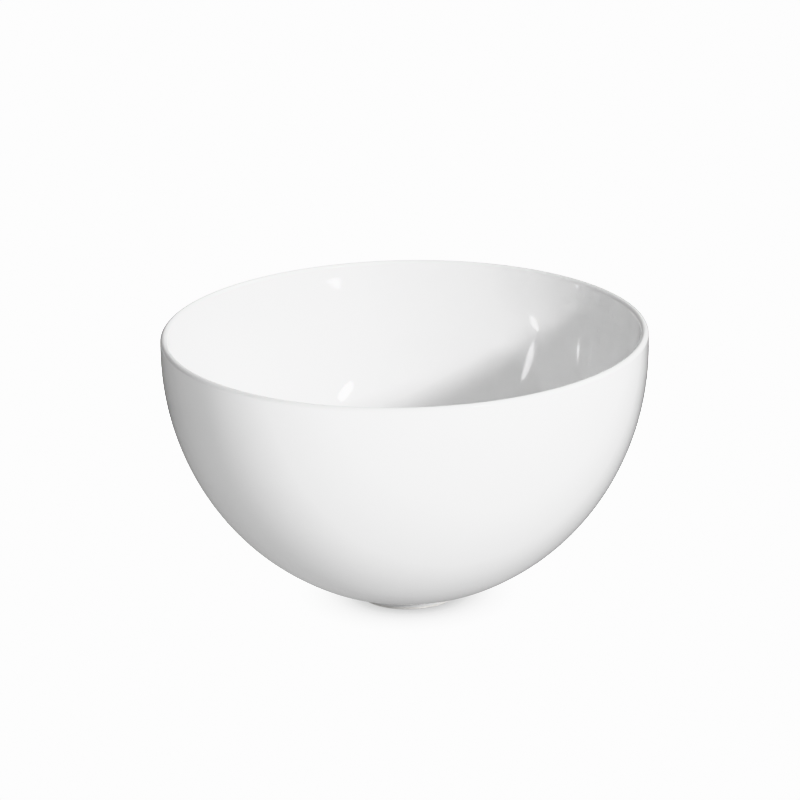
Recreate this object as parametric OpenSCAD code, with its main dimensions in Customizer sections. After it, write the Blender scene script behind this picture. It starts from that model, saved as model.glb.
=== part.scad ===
// A deep, round-bottomed porcelain dish on a low foot ring, glazed inside and out.
// Every piece is a body of revolution about Z. The dish stands on Z = 0.

/* [Bowl] */
// Outside diameter at the widest line
bowl_d = 120; // [90:1:150]
// Overall height, from the bench to the crest of the lip
bowl_h = 69; // [50:0.5:90]
// Depth of the widest line below the crest of the lip
widest_drop = 4.1; // [3:0.1:9]
// Finished thickness of the rim, which is rounded over its whole thickness
lip_t = 2; // [1.4:0.1:4]
// Finished thickness of the floor at the middle
floor_t = 2.6; // [1.8:0.1:6]

/* [Foot] */
// Outside diameter of the foot ring
foot_d = 26; // [18:0.5:40]
// Height of the foot ring, from the bench to the underside of the bowl
foot_h = 2.1; // [1.5:0.1:5]
// Finished thickness of the foot ring
foot_t = 2.6; // [2.2:0.1:4]
// Depth of the recess inside the foot ring
recess_h = 1.2; // [1:0.1:2.5]
// Bevel on both edges of the face that the dish stands on
foot_bevel = 0.4; // [0.2:0.05:0.6]

/* [Glaze] */
// Thickness of the fired glaze
glaze_t = 0.25; // [0.15:0.05:0.4]
// Height of the bare porcelain at the bottom of the foot ring
bare_h = 0.7; // [0.6:0.05:0.9]

/* [Hidden] */

// Turn between two points of a wall curve and of the lip, and steps round the axis
wall_step = 3;
lip_step = 15;
$fn = 180;

bowl_r = bowl_d / 2;
foot_r = foot_d / 2;
recess_r = foot_r - foot_t;
widest_z = bowl_h - widest_drop;
lip_r = lip_t / 2;
floor_z = recess_h + floor_t;

// The outside is a quarter of an ellipse that meets the foot ring at its height
wall_depth = (widest_z - foot_h) / sqrt(1 - pow(foot_r / bowl_r, 2));
// The inside is a quarter of an ellipse that ends at the floor
hollow_depth = widest_z - floor_z;
hollow_r = bowl_r - lip_t;

// A point of a quarter ellipse at a given turn below its widest line
function wall_point(r, depth, turn) = [r * cos(turn), widest_z - depth * sin(turn)];

// Outside of the bowl, from the foot ring up to the widest line, set in by some thickness
function outside_run(inset) =
    let (meet = acos((foot_r - inset) / (bowl_r - inset)))
    let (steps = ceil(meet / wall_step))
    [for (i = [steps : -1 : 0]) wall_point(bowl_r - inset, wall_depth - inset, meet * i / steps)];

// Half circle over the lip, from outside to inside
function lip_run(inset) =
    [for (turn = [0 : lip_step : 180])
        [bowl_r - lip_r, bowl_h - lip_r] + (lip_r - inset) * [cos(turn), sin(turn)]];

// Inside of the bowl, from the widest line down to the middle of the floor
function inside_run(inset) =
    [for (turn = [0 : wall_step : 90])
        wall_point(hollow_r + inset, hollow_depth + inset, turn)];

// The whole glazed face in one line: foot ring, outside, lip, inside
function glazed_run(inset) =
    concat([[foot_r - inset, bare_h]], outside_run(inset), lip_run(inset), inside_run(inset));

function reversed(run) = [for (i = [len(run) - 1 : -1 : 0]) run[i]];

// The underside of the fired clay: recess, bare foot ring with its two bevels
function foot_run() = [
    [0, recess_h + glaze_t],
    [recess_r + glaze_t, recess_h + glaze_t],
    [recess_r + glaze_t, foot_bevel],
    [recess_r + glaze_t + foot_bevel, 0],
    [foot_r - glaze_t - foot_bevel, 0],
    [foot_r - glaze_t, foot_bevel]
];

// The dish as it leaves the biscuit firing, with its bare foot ring
module porcelain_body() {
    color("#efece4")
    rotate_extrude()
    polygon(concat(foot_run(), glazed_run(glaze_t)));
}

// One unbroken skin of glaze over the outside, the lip and the inside
module glaze_coat() {
    color("#f9f9f9")
    rotate_extrude()
    polygon(concat(glazed_run(0), reversed(glazed_run(glaze_t))));
}

// The patch of glaze inside the foot ring, which the bare ring cuts off from the rest
module foot_recess_glaze() {
    color("#f4f4f4")
    rotate_extrude()
    polygon([
        [0, recess_h],
        [recess_r, recess_h],
        [recess_r, bare_h],
        [recess_r + glaze_t, bare_h],
        [recess_r + glaze_t, recess_h + glaze_t],
        [0, recess_h + glaze_t]
    ]);
}

porcelain_body();
glaze_coat();
foot_recess_glaze();
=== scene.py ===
# A deep porcelain dish on a low foot ring, shown on a white sweep. Metres, +Z up.

from math import acos, atan, cos, degrees, pi, radians, sin, sqrt

import bpy
from mathutils import Matrix, Quaternion, Vector


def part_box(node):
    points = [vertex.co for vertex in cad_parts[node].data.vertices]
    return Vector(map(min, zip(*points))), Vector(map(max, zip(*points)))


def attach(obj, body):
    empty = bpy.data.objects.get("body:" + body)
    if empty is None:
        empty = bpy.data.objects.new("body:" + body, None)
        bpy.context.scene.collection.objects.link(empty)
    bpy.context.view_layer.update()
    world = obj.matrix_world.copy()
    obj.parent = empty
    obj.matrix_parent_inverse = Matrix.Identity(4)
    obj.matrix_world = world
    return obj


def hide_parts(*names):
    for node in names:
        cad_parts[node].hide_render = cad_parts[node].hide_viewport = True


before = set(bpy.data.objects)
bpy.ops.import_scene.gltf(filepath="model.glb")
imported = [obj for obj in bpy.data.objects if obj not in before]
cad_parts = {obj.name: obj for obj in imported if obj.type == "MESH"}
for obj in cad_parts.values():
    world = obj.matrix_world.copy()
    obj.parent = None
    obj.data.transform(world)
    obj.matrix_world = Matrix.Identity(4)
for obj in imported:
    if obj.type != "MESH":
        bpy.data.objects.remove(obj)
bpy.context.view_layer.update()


# ---------------------------------------------------------------------------
# Porcelain body. One piece of fired white clay: wall, floor and foot ring. It is jiggered in a
# plaster mould, its foot is turned, and after the biscuit firing it is dipped in glaze. The face
# it stands on is wiped clean first, so the clay shows there and nowhere else.

coat_low, coat_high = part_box("glaze_coat")
body_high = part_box("porcelain_body")[1]
patch_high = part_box("foot_recess_glaze")[1]

bowl_radius = coat_high.x
bowl_height = coat_high.z
glaze_thickness = coat_high.z - body_high.z
bare_height = coat_low.z
recess_radius = patch_high.x - glaze_thickness
recess_height = patch_high.z - glaze_thickness

lip_thickness = 0.0020
floor_thickness = 0.0026
foot_radius = 0.0130
foot_height = 0.0021
foot_bevel = 0.0004
widest_drop = 0.0041
widest_height = bowl_height - widest_drop

wall_depth = (widest_height - foot_height) / sqrt(1 - (foot_radius / bowl_radius) ** 2)
hollow_depth = widest_height - recess_height - floor_thickness
hollow_radius = bowl_radius - lip_thickness


def arc(centre_r, centre_z, radius, start, end, steps):
    """Points of an arc in the (radius, height) plane, from one angle to another in degrees."""
    turns = [radians(start + (end - start) * i / steps) for i in range(steps + 1)]
    return [(centre_r + radius * cos(t), centre_z + radius * sin(t)) for t in turns]


def wall(radius, depth, start, end, steps):
    """Points of a bowl wall, which is part of an ellipse hung from its widest line."""
    turns = [radians(start + (end - start) * i / steps) for i in range(steps + 1)]
    return [(radius * cos(t), widest_height - depth * sin(t)) for t in turns]


def lip(inset):
    """The rounded lip, from outside to inside."""
    rounding = lip_thickness / 2
    return arc(bowl_radius - rounding, bowl_height - rounding, rounding - inset, 0, 180, 20)


def hollow(inset):
    """The inside of the bowl, down to the middle of the floor."""
    nearly_level = 89.999
    side = wall(hollow_radius + inset, hollow_depth + inset, 0, nearly_level, 60)
    return side + [(0, widest_height - hollow_depth - inset)]


def outside_of_clay():
    """The clay's own outside, from the foot ring to the widest line."""
    meet = degrees(acos((foot_radius - glaze_thickness) / (bowl_radius - glaze_thickness)))
    return wall(bowl_radius - glaze_thickness, wall_depth - glaze_thickness, meet, 0, 54)


def turned(name, outline, slices=192):
    """A mesh from a closed outline turned round the Z axis. Going up the outline faces outwards."""
    rings, verts, faces = [], [], []
    for r, z in outline:
        if r < 1e-6:
            rings.append([len(verts)] * slices)
            verts.append((0, 0, z))
            continue
        rings.append(list(range(len(verts), len(verts) + slices)))
        verts += [
            (r * cos(2 * pi * i / slices), r * sin(2 * pi * i / slices), z) for i in range(slices)
        ]
    for low, high in zip(rings, rings[1:] + rings[:1]):
        for i in range(slices):
            j = (i + 1) % slices
            corners = list(dict.fromkeys((low[i], low[j], high[j], high[i])))
            if len(corners) > 2:
                faces.append(corners)
    mesh = bpy.data.meshes.new(name)
    mesh.from_pydata(verts, [], faces)
    mesh.shade_smooth()
    piece = bpy.data.objects.new(name, mesh)
    bpy.context.scene.collection.objects.link(piece)
    return piece


clay_foot = foot_radius - glaze_thickness
clay_recess = recess_radius + glaze_thickness
foot_face = (
    [(0, recess_height + glaze_thickness)]
    + [(clay_recess, recess_height + glaze_thickness)]
    + arc(clay_recess + foot_bevel, foot_bevel, foot_bevel, 180, 270, 6)
    + arc(clay_foot - foot_bevel, foot_bevel, foot_bevel, 270, 360, 6)
)
clay_outline = foot_face + outside_of_clay() + lip(glaze_thickness) + hollow(glaze_thickness)
clay = turned("biscuit_body", clay_outline)
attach(clay, "root")
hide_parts("porcelain_body")


def new_material(name):
    """An empty material and its shader."""
    material = bpy.data.materials.new(name)
    material.use_nodes = True
    return material, material.node_tree, material.node_tree.nodes["Principled BSDF"]


def link(tree, source, socket):
    """A wire from one node to another."""
    tree.links.new(source, socket)


def noise(tree, place, scale, detail=2.0, roughness=0.5):
    """A noise over the object's own coordinates, in features per metre."""
    node = tree.nodes.new("ShaderNodeTexNoise")
    node.inputs["Scale"].default_value = scale
    node.inputs["Detail"].default_value = detail
    node.inputs["Roughness"].default_value = roughness
    link(tree, place, node.inputs["Vector"])
    return node.outputs["Fac"]


def spread(tree, value, low, high, to_low=0.0, to_high=1.0):
    """A value moved from one range to another and held there."""
    node = tree.nodes.new("ShaderNodeMapRange")
    for socket, number in zip(node.inputs[1:5], (low, high, to_low, to_high)):
        socket.default_value = number
    link(tree, value, node.inputs["Value"])
    return node.outputs["Result"]


def combine(tree, operation, first, second):
    """Two values put together. The second is a value or a plain number."""
    node = tree.nodes.new("ShaderNodeMath")
    node.operation = operation
    link(tree, first, node.inputs[0])
    if isinstance(second, (int, float)):
        node.inputs[1].default_value = second
    else:
        link(tree, second, node.inputs[1])
    return node.outputs["Value"]


def blend_colours(tree, share, first, second):
    """One colour into another. Each is a colour or a socket."""
    node = tree.nodes.new("ShaderNodeMix")
    node.data_type = "RGBA"
    link(tree, share, node.inputs["Factor"])
    for name, colour in (("A", first), ("B", second)):
        socket = next(s for s in node.inputs if s.name == name and s.type == "RGBA")
        if isinstance(colour, tuple):
            socket.default_value = (*colour, 1)
        else:
            link(tree, colour, socket)
    return next(s for s in node.outputs if s.type == "RGBA")


def bumped(tree, height, depth, shader):
    """Relief of a real depth in metres."""
    node = tree.nodes.new("ShaderNodeBump")
    node.inputs["Distance"].default_value = depth
    link(tree, height, node.inputs["Height"])
    link(tree, node.outputs["Normal"], shader.inputs["Normal"])


clay_white = (0.79, 0.78, 0.76)
clay_speck = (0.70, 0.685, 0.66)
bench_grey = (0.46, 0.45, 0.43)
clay_roughness = (0.62, 0.85)
grain_per_metre = 6000
mottle_per_metre = 900
rub_per_metre = 1500
grain_depth = 0.00002
rubbed_height = 0.00025

clay_material, tree, shader = new_material("bare porcelain")
place = tree.nodes.new("ShaderNodeTexCoord").outputs["Object"]
grain = noise(tree, place, grain_per_metre, detail=3)
mottle = spread(tree, noise(tree, place, mottle_per_metre, detail=4), 0.35, 0.7)
rubbing = noise(tree, place, rub_per_metre, detail=5, roughness=0.7)
axes = tree.nodes.new("ShaderNodeSeparateXYZ")
link(tree, place, axes.inputs["Vector"])
near_bench = spread(tree, axes.outputs["Z"], 0.0, rubbed_height, 1.0, 0.0)
rubbed = combine(tree, "MULTIPLY", spread(tree, rubbing, 0.52, 0.66), near_bench)
clay_colour = blend_colours(tree, mottle, clay_white, clay_speck)
clay_colour = blend_colours(tree, rubbed, clay_colour, bench_grey)
link(tree, clay_colour, shader.inputs["Base Color"])
link(tree, spread(tree, grain, 0.3, 0.7, *clay_roughness), shader.inputs["Roughness"])
bumped(tree, grain, grain_depth, shader)
clay.data.materials.append(clay_material)


# ---------------------------------------------------------------------------
# Glaze coat. A skin of white glass a quarter of a millimetre thick, fused to the clay in the glost
# firing. It runs unbroken over the foot ring's side, the outside, the lip and the inside. It fills
# the corner above the foot ring and ends in a rolled edge just above the bench.

foot_fillet = 0.0006
clear_white = (0.865, 0.865, 0.865)
clouded_white = (0.85, 0.85, 0.85)
lip_white = (0.84, 0.84, 0.838)
lip_share = 0.7
glaze_roughness = (0.045, 0.065)
cloud_per_metre = 38
gloss_per_metre = 160
waves_per_metre = 95
wave_depth = 0.00002
glass_index = 1.5


def outside_of_glaze():
    """The glaze's outside: rolled edge, foot ring's side, filled corner, wall."""
    edge = arc(clay_foot, bare_height + glaze_thickness, glaze_thickness, 270, 360, 6)
    slope = (wall_depth / bowl_radius) * (foot_radius / bowl_radius)
    slope /= sqrt(1 - (foot_radius / bowl_radius) ** 2)
    centre_r = foot_radius + foot_fillet
    centre_z = foot_height + slope * foot_fillet - foot_fillet * sqrt(1 + slope**2)
    corner = arc(centre_r, centre_z, foot_fillet, 180, 90 + degrees(atan(slope)), 8)
    start = degrees(acos(corner[-1][0] / bowl_radius))
    return edge + corner + wall(bowl_radius, wall_depth, start, 0, 90)[1:]


under_glaze = [(clay_foot, bare_height)] + outside_of_clay() + lip(glaze_thickness)
under_glaze += hollow(glaze_thickness)
coat_outline = outside_of_glaze() + lip(0) + hollow(0) + under_glaze[:0:-1]
coat = turned("white_glaze", coat_outline)
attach(coat, "root")
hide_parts("glaze_coat")

# What every patch of this glaze shares: a cloudiness too faint to name, a gloss that varies a
# little, and the slow waviness of a glass surface that flowed in the kiln.
glaze_look = bpy.data.node_groups.new("flowed glaze", "ShaderNodeTree")
for name, kind in (("Clear white", "NodeSocketColor"), ("Clouded white", "NodeSocketColor")):
    glaze_look.interface.new_socket(name, in_out="INPUT", socket_type=kind)
glaze_look.interface.new_socket("Colour", in_out="OUTPUT", socket_type="NodeSocketColor")
glaze_look.interface.new_socket("Roughness", in_out="OUTPUT", socket_type="NodeSocketFloat")
glaze_look.interface.new_socket("Waves", in_out="OUTPUT", socket_type="NodeSocketFloat")
taken = glaze_look.nodes.new("NodeGroupInput")
given = glaze_look.nodes.new("NodeGroupOutput")
place = glaze_look.nodes.new("ShaderNodeTexCoord").outputs["Object"]
cloud = spread(glaze_look, noise(glaze_look, place, cloud_per_metre, detail=3), 0.35, 0.65)
colour = blend_colours(
    glaze_look, cloud, taken.outputs["Clear white"], taken.outputs["Clouded white"]
)
link(glaze_look, colour, given.inputs["Colour"])
gloss = noise(glaze_look, place, gloss_per_metre, detail=2)
gloss = spread(glaze_look, gloss, 0.3, 0.7, *glaze_roughness)
link(glaze_look, gloss, given.inputs["Roughness"])
waves = noise(glaze_look, place, waves_per_metre, detail=1.5)
link(glaze_look, waves, given.inputs["Waves"])


def glaze_material(name, clear, clouded):
    """A glaze with its own whites. Returns it with its tree, shader and colour for more work."""
    material, tree, shader = new_material(name)
    look = tree.nodes.new("ShaderNodeGroup")
    look.node_tree = glaze_look
    look.inputs["Clear white"].default_value = (*clear, 1)
    look.inputs["Clouded white"].default_value = (*clouded, 1)
    link(tree, look.outputs["Roughness"], shader.inputs["Roughness"])
    link(tree, look.outputs["Colour"], shader.inputs["Base Color"])
    bumped(tree, look.outputs["Waves"], wave_depth, shader)
    shader.inputs["IOR"].default_value = glass_index
    return material, tree, shader, look.outputs["Colour"]


coat_material, tree, shader, colour = glaze_material("white glaze", clear_white, clouded_white)

# The glaze draws thin over the lip, so a little of the clay's tone comes through there.
place = tree.nodes.new("ShaderNodeTexCoord").outputs["Object"]
axes = tree.nodes.new("ShaderNodeSeparateXYZ")
link(tree, place, axes.inputs["Vector"])
lip_foot = bowl_height - lip_thickness / 2
on_lip = spread(tree, axes.outputs["Z"], lip_foot, bowl_height, 0.0, lip_share)
link(tree, blend_colours(tree, on_lip, colour, lip_white), shader.inputs["Base Color"])
coat.data.materials.append(coat_material)


# ---------------------------------------------------------------------------
# Recess glaze. The same glaze pooled in the shallow recess inside the foot ring. The bare ring
# keeps it apart from the main coat, and here too it ends in a rolled edge.

pool_fillet = 0.0004
pooled_white = (0.84, 0.845, 0.845)
pooled_cloud = (0.82, 0.825, 0.825)

patch_outline = (
    [(0, recess_height)]
    + arc(recess_radius - pool_fillet, recess_height - pool_fillet, pool_fillet, 90, 0, 6)
    + arc(clay_recess, bare_height + glaze_thickness, glaze_thickness, 180, 270, 6)
    + [(clay_recess, recess_height + glaze_thickness), (0, recess_height + glaze_thickness)]
)
patch = turned("recess_glaze", patch_outline)
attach(patch, "root")
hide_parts("foot_recess_glaze")
patch_material, *_ = glaze_material("pooled white glaze", pooled_white, pooled_cloud)
patch.data.materials.append(patch_material)


# ---------------------------------------------------------------------------
# Sweep. A plain pale floor that glows and takes no light from the lamps. To the camera it glows an
# even white, with a painted contact shadow close under the dish. The shadow is darker the more the
# foot ring and the wall above it shut a spot in. To the dish the floor is a glowing panel that
# gives more light from the front and the left, and most from close by, with painted shade under it.

sweep_size = 8.0
sweep_height = -0.00005
sweep_seen = 3.7
contact_reach = 0.0075
contact_depth = 2.3
fully_open = 0.9
shut_in_seen = 0.40
shut_in_cast = 0.75
front_glow, front_reach = 1.39, 0.25
left_glow, left_reach = 0.44, 0.25
close_glow, close_reach = 0.51, 0.16

half = sweep_size / 2
corners = ((-half, -half), (half, -half), (half, half), (-half, half))
sweep_mesh = bpy.data.meshes.new("sweep")
sweep_mesh.from_pydata([(x, y, sweep_height) for x, y in corners], [], [(0, 1, 2, 3)])
sweep = bpy.data.objects.new("sweep", sweep_mesh)
bpy.context.scene.collection.objects.link(sweep)

sweep_material, tree, shader = new_material("glowing sweep with painted contact shadow")
tree.nodes.remove(shader)
# Painted contact shadow: the glow is darkened by how shut in each spot is, not cast by any lamp.
shut_in = tree.nodes.new("ShaderNodeAmbientOcclusion")
shut_in.samples = 24
shut_in.inputs["Distance"].default_value = contact_reach
painted_shadow_share = spread(tree, shut_in.outputs["AO"], 0.0, fully_open, shut_in_seen, 1.0)
painted_shadow_share = combine(tree, "POWER", painted_shadow_share, contact_depth)
seen_glow = combine(tree, "MULTIPLY", painted_shadow_share, sweep_seen)

# The glow that lights the dish, brighter in front, to the left and close by.
place = tree.nodes.new("ShaderNodeTexCoord").outputs["Object"]
axes = tree.nodes.new("ShaderNodeSeparateXYZ")
link(tree, place, axes.inputs["Vector"])
away = tree.nodes.new("ShaderNodeVectorMath")
away.operation = "LENGTH"
link(tree, place, away.inputs[0])
cast_glow = spread(tree, axes.outputs["Y"], -front_reach, 0.0, front_glow, 0.0)
left_share = spread(tree, axes.outputs["X"], -left_reach, 0.0, left_glow, 0.0)
close_share = spread(tree, away.outputs["Value"], 0.0, close_reach, close_glow, 0.0)
cast_glow = combine(tree, "ADD", cast_glow, left_share)
cast_glow = combine(tree, "ADD", cast_glow, close_share)
# Painted shade: the glow cast on the dish is also darkened close under it.
painted_under_shade_share = spread(tree, shut_in.outputs["AO"], 0.0, fully_open, shut_in_cast, 1.0)
cast_glow = combine(tree, "MULTIPLY", cast_glow, painted_under_shade_share)

seen = tree.nodes.new("ShaderNodeLightPath").outputs["Is Camera Ray"]
strength = tree.nodes.new("ShaderNodeMix")
link(tree, seen, strength.inputs["Factor"])
link(tree, cast_glow, strength.inputs["A"])
link(tree, seen_glow, strength.inputs["B"])
glow = tree.nodes.new("ShaderNodeEmission")
link(tree, strength.outputs["Result"], glow.inputs["Strength"])

# Seen from under the floor, the sweep lets the eye through, so that the foot can be looked at.
underside = tree.nodes.new("ShaderNodeNewGeometry").outputs["Backfacing"]
seen_from_below = combine(tree, "MULTIPLY", seen, underside)
surface = tree.nodes.new("ShaderNodeMixShader")
link(tree, seen_from_below, surface.inputs["Fac"])
link(tree, glow.outputs["Emission"], surface.inputs[1])
clear = tree.nodes.new("ShaderNodeBsdfTransparent")
link(tree, clear.outputs["BSDF"], surface.inputs[2])
link(tree, surface.outputs["Shader"], tree.nodes["Material Output"].inputs["Surface"])
sweep_mesh.materials.append(sweep_material)


# ---------------------------------------------------------------------------
# Light. A small soft box to the right of the camera does most of the work, and a large one on the
# right and one behind the dish fill the shade. The room is a dim grey, palest overhead and behind
# the camera. Small oval lamps put the sharp gleams on the inside.

dish_middle = Vector((0, 0, bowl_height * 0.6))
box_distance = 1.30
dish_only = bpy.data.collections.new("lit by the lamps")
for piece in (clay, coat, patch):
    dish_only.objects.link(piece)


def around(azimuth, out, up):
    """A point this far out from the dish's axis. Azimuth 0 is the camera's side, 90 its right."""
    a = radians(azimuth)
    return Vector((out * sin(a), -out * cos(a), up))


def area_lamp(name, shape, place, facing, turn, width, height, power):
    """A lamp that lights only the dish, turned by so many degrees about the way it faces."""
    light = bpy.data.lights.new(name, "AREA")
    light.shape = shape
    light.size, light.size_y = width, height
    light.energy = power
    lamp = bpy.data.objects.new(name, light)
    lamp.location = place
    lamp.rotation_mode = "QUATERNION"
    spin = Quaternion((0, 0, 1), radians(turn))
    lamp.rotation_quaternion = (place - facing).to_track_quat("Z", "Y") @ spin
    lamp.visible_camera = False
    lamp.light_linking.receiver_collection = dish_only
    bpy.context.scene.collection.objects.link(lamp)
    return lamp


def soft_box(name, azimuth, elevation, width, height, power):
    """An upright soft box that faces the middle of the dish."""
    rise = radians(elevation)
    stand = around(azimuth, box_distance * cos(rise), dish_middle.z + box_distance * sin(rise))
    return area_lamp(name, "RECTANGLE", stand, dish_middle, 0, width, height, power)


def gleam_lamp(name, place, facing, turn, width, height, power):
    """A small oval lamp that only the gloss answers to."""
    lamp = area_lamp(name, "ELLIPSE", place, facing, turn, width, height, power)
    lamp.visible_diffuse = False


key = soft_box("key", 34, 21, 0.18, 0.12, 13.6)
key.visible_glossy = False
soft_box("side", 100, 35, 0.80, 0.60, 7.8)
back_fill = soft_box("back fill", 180, 28, 0.90, 0.60, 10.5)
back_fill.visible_glossy = False

# The first gleam lamp stands outside, above the key. The others hang inside the bowl, each facing
# the spot on the wall where it shows, and stand in for gleams thrown from wall to wall in it.
gleam_lamp("key gleam", around(37, 1.05, 0.72), dish_middle, -58, 0.085, 0.24, 3.8)
gleam_spot = around(-160, 0.058, 0.0655)
gleam_lamp("wall gleam", around(88, 0.025, 0.042), gleam_spot, 60, 0.0022, 0.0135, 3.3e-3)
streak_spot = around(144, 0.055, 0.045)
gleam_lamp("streak", around(-106, 0.048, 0.063), streak_spot, -8, 0.0038, 0.0135, 9.6e-4)
dot_spot = around(144, 0.057, 0.055)
gleam_lamp("dot", around(-107, 0.0485, 0.0505), dot_spot, 70, 0.0030, 0.0058, 3.4e-4)
short_spot = around(128.5, 0.0565, 0.0515)
gleam_lamp("short streak", around(-150, 0.051, 0.0495), short_spot, -25, 0.0015, 0.0024, 6.0e-5)

room_front, room_top = 0.53, 0.61
overhead_gather = 3

world = bpy.data.worlds.new("studio")
bpy.context.scene.world = world
world.use_nodes = True
tree = world.node_tree
room = tree.nodes["Background"]
axes = tree.nodes.new("ShaderNodeSeparateXYZ")
link(tree, tree.nodes.new("ShaderNodeTexCoord").outputs["Generated"], axes.inputs["Vector"])
overhead = combine(tree, "POWER", spread(tree, axes.outputs["Z"], 0.0, 1.0), overhead_gather)
overhead = combine(tree, "MULTIPLY", overhead, room_top)
dim = spread(tree, axes.outputs["Y"], -1.0, 0.0, room_front, 0.0)
dim = combine(tree, "ADD", overhead, dim)
seen = tree.nodes.new("ShaderNodeLightPath").outputs["Is Camera Ray"]
shown = tree.nodes.new("ShaderNodeMix")
link(tree, seen, shown.inputs["Factor"])
link(tree, dim, shown.inputs["A"])
shown.inputs["B"].default_value = sweep_seen
link(tree, shown.outputs["Result"], room.inputs["Strength"])
room.inputs["Color"].default_value = (1, 1, 1, 1)


# ---------------------------------------------------------------------------
# Camera. A long lens about a metre away looks down at twenty degrees, held very slightly askew. It
# aims just left of the dish's axis, at about three quarters of its height.

look_down = radians(19.75)
askew = radians(-1.15)
camera_distance = 16 * bowl_radius
swing_centre = Vector((0, 0, bowl_height - 0.55 * bowl_radius))
aim = Vector((-0.0014, 0, 0.0507))
focal_length = 174
film_width = 36

camera_place = swing_centre + Vector((0, -cos(look_down), sin(look_down))) * camera_distance
back = (camera_place - aim).normalized()
right = Vector((0, 0, 1)).cross(back).normalized()
up = back.cross(right)
right, up = cos(askew) * right + sin(askew) * up, cos(askew) * up - sin(askew) * right

lens = bpy.data.cameras.new("camera")
lens.lens = focal_length
lens.sensor_width = film_width
lens.clip_start = 0.01
camera = bpy.data.objects.new("camera", lens)
facing = Matrix((right, up, back)).transposed().to_4x4()
camera.matrix_world = Matrix.Translation(camera_place) @ facing
bpy.context.scene.collection.objects.link(camera)
bpy.context.scene.camera = camera
bpy.context.scene.view_settings.view_transform = "Khronos PBR Neutral"
